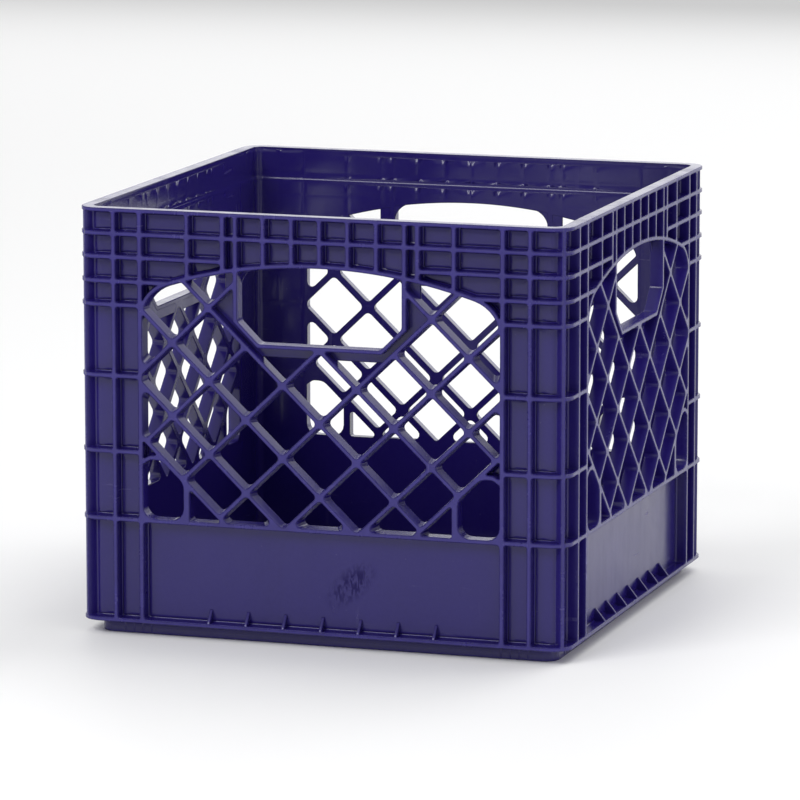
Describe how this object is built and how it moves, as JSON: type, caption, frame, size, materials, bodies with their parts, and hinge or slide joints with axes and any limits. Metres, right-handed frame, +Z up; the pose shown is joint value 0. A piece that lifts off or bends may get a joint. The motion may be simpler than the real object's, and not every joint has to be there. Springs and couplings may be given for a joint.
{
  "type": "milk bottle crate",
  "caption": "Square stacking milk bottle crate: ribbed rim band and corner columns, diagonal lattice sides with arched hand holes, closed lower panels, grid floor and nesting foot.",
  "frame": {"origin": "centre of the square base, on the plane of the nesting foot", "axes": "+Z up, -Y the front side of the picture, X along the front side"},
  "size_m": [0.3302, 0.3302, 0.2794],
  "materials": {
    "crate_plastic": "satin-gloss blue-violet polyethylene"
  },
  "bodies": {
    "root": {"front_hand_rail": "crate_plastic", "front_shoulder_a": "crate_plastic", "front_shoulder_b": "crate_plastic", "front_lattice_a": "crate_plastic", "front_lattice_b": "crate_plastic", "front_lattice_mid": "crate_plastic", "front_lower_panel": "crate_plastic", "corner_column_1": "crate_plastic", "right_hand_rail": "crate_plastic", "right_shoulder_a": "crate_plastic", "right_shoulder_b": "crate_plastic", "right_lattice_a": "crate_plastic", "right_lattice_b": "crate_plastic", "right_lattice_mid": "crate_plastic", "right_lower_panel": "crate_plastic", "corner_column_2": "crate_plastic", "back_hand_rail": "crate_plastic", "back_shoulder_a": "crate_plastic", "back_shoulder_b": "crate_plastic", "back_lattice_a": "crate_plastic", "back_lattice_b": "crate_plastic", "back_lattice_mid": "crate_plastic", "back_lower_panel": "crate_plastic", "corner_column_3": "crate_plastic", "left_hand_rail": "crate_plastic", "left_shoulder_a": "crate_plastic", "left_shoulder_b": "crate_plastic", "left_lattice_a": "crate_plastic", "left_lattice_b": "crate_plastic", "left_lattice_mid": "crate_plastic", "left_lower_panel": "crate_plastic", "corner_column_4": "crate_plastic", "floor_grid": "crate_plastic", "foot_ring": "crate_plastic"}
  },
  "joints": []
}
